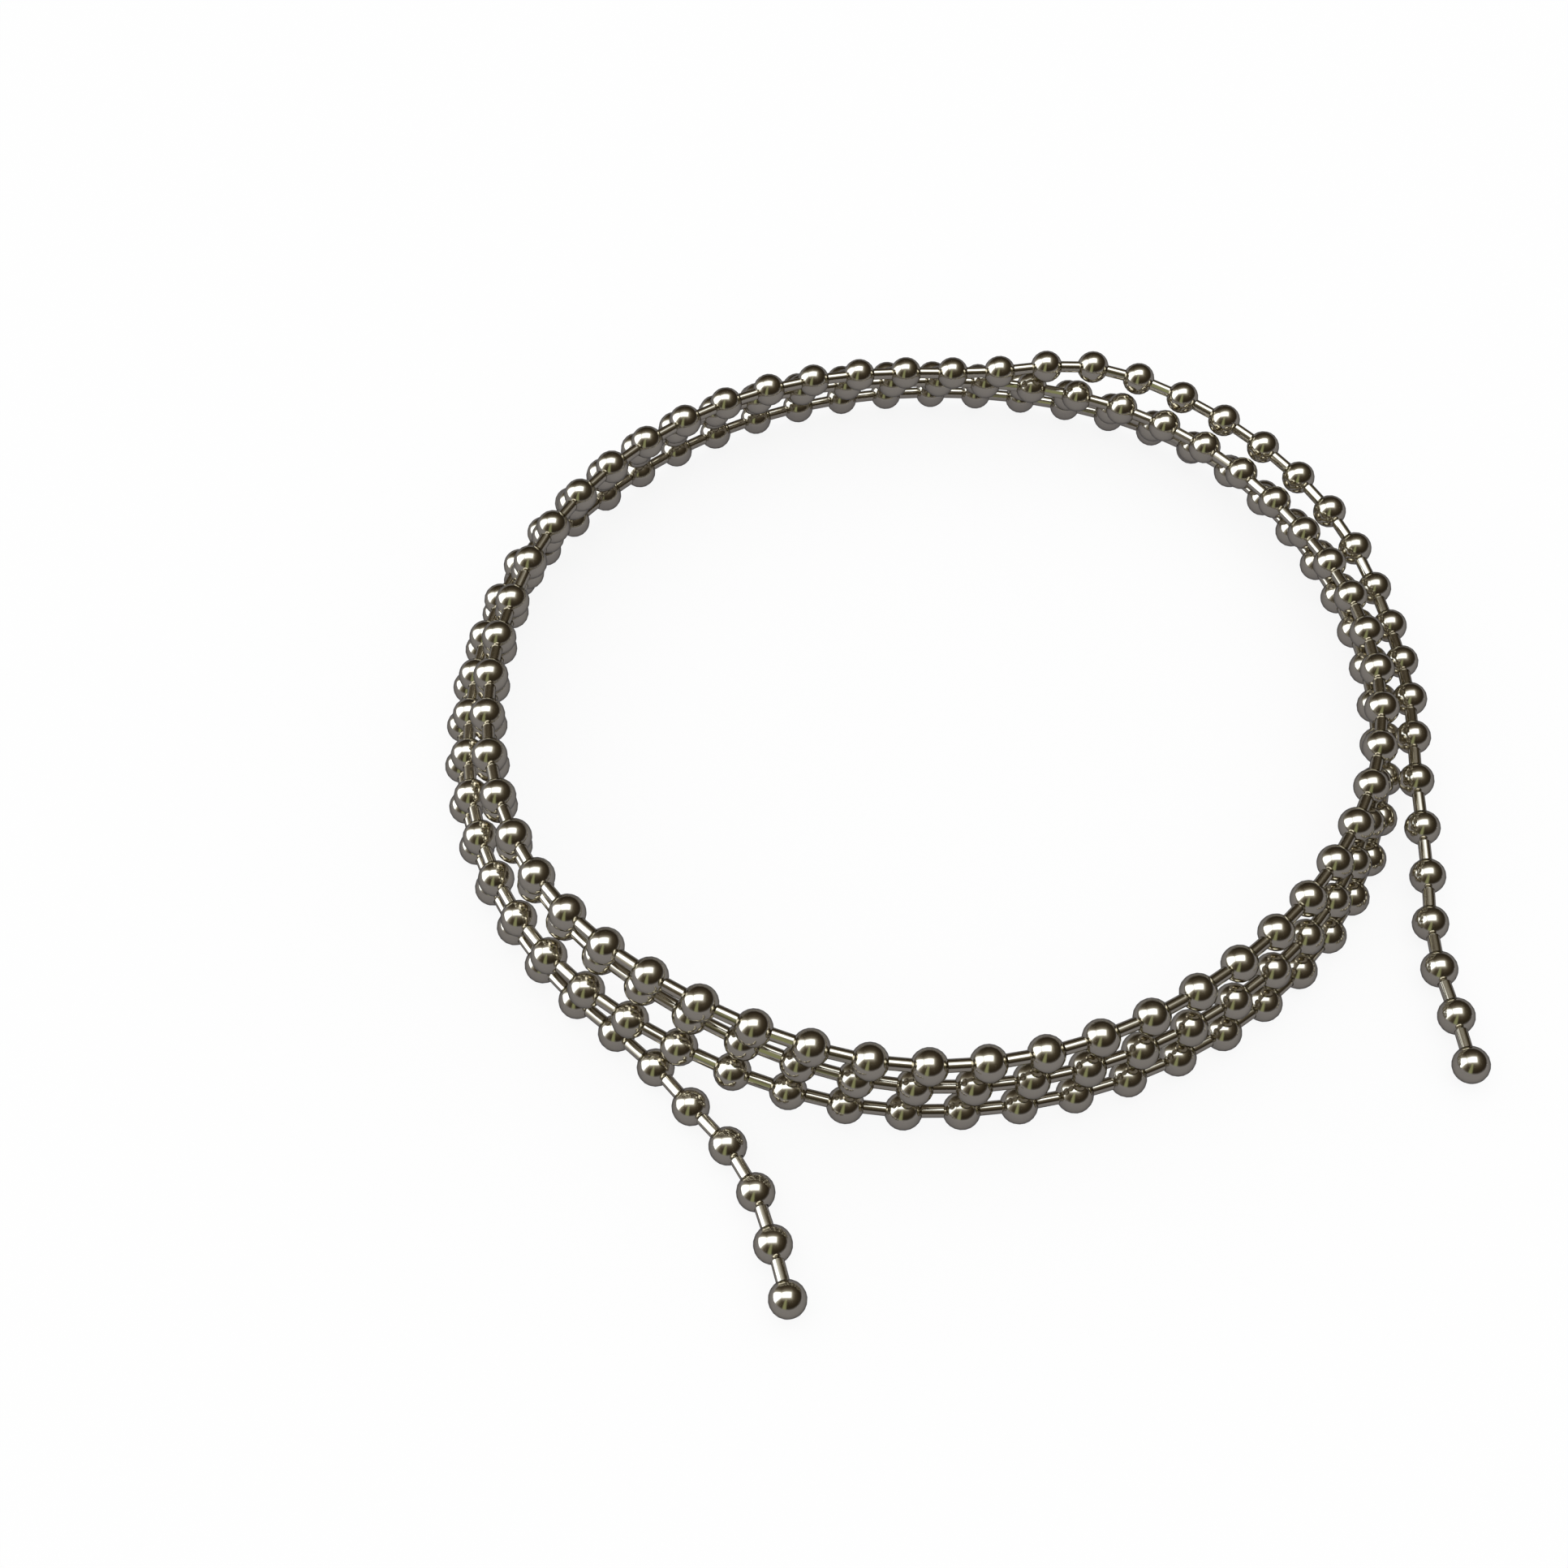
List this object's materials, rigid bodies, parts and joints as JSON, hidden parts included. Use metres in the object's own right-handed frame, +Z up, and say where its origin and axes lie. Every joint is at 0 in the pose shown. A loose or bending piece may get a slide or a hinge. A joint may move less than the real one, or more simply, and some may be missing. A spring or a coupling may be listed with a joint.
{
  "type": "roller blind chain",
  "caption": "Steel ball chain for a roller blind: hollow balls strung on short headed links, lying in a loose round coil with both ends free.",
  "frame": {"origin": "middle of the outline of the whole lay, seen from above, on the surface that the chain lies on", "axes": "+Z up from that surface; +Y from the free left-hand end across the coil to its far side; +X towards the side where the right-hand end runs"},
  "size_m": [0.1292, 0.1506, 0.0173],
  "materials": {
    "polished_steel": "polished nickel-plated steel"
  },
  "bodies": {
    "root": {"chain_run_01": "polished_steel", "chain_run_02": "polished_steel", "chain_run_03": "polished_steel", "chain_run_04": "polished_steel", "chain_run_05": "polished_steel", "chain_run_06": "polished_steel", "chain_run_07": "polished_steel", "chain_run_08": "polished_steel", "chain_run_09": "polished_steel", "chain_run_10": "polished_steel", "chain_run_11": "polished_steel", "chain_run_12": "polished_steel", "chain_run_13": "polished_steel", "chain_run_14": "polished_steel", "chain_run_15": "polished_steel", "chain_run_16": "polished_steel", "chain_run_17": "polished_steel", "chain_run_18": "polished_steel", "chain_run_19": "polished_steel", "chain_run_20": "polished_steel", "chain_run_21": "polished_steel", "chain_run_22": "polished_steel", "chain_run_23": "polished_steel", "chain_run_24": "polished_steel", "chain_run_25": "polished_steel", "chain_run_26": "polished_steel", "chain_run_27": "polished_steel", "chain_run_28": "polished_steel", "chain_run_29": "polished_steel", "chain_run_30": "polished_steel", "left_end_ball_1": "polished_steel", "left_end_ball_2": "polished_steel", "left_end_ball_3": "polished_steel", "left_end_link_1": "polished_steel", "left_end_link_2": "polished_steel", "left_end_link_3": "polished_steel", "right_end_ball_1": "polished_steel", "right_end_ball_2": "polished_steel", "right_end_ball_3": "polished_steel", "right_end_link_1": "polished_steel", "right_end_link_2": "polished_steel"}
  },
  "joints": []
}
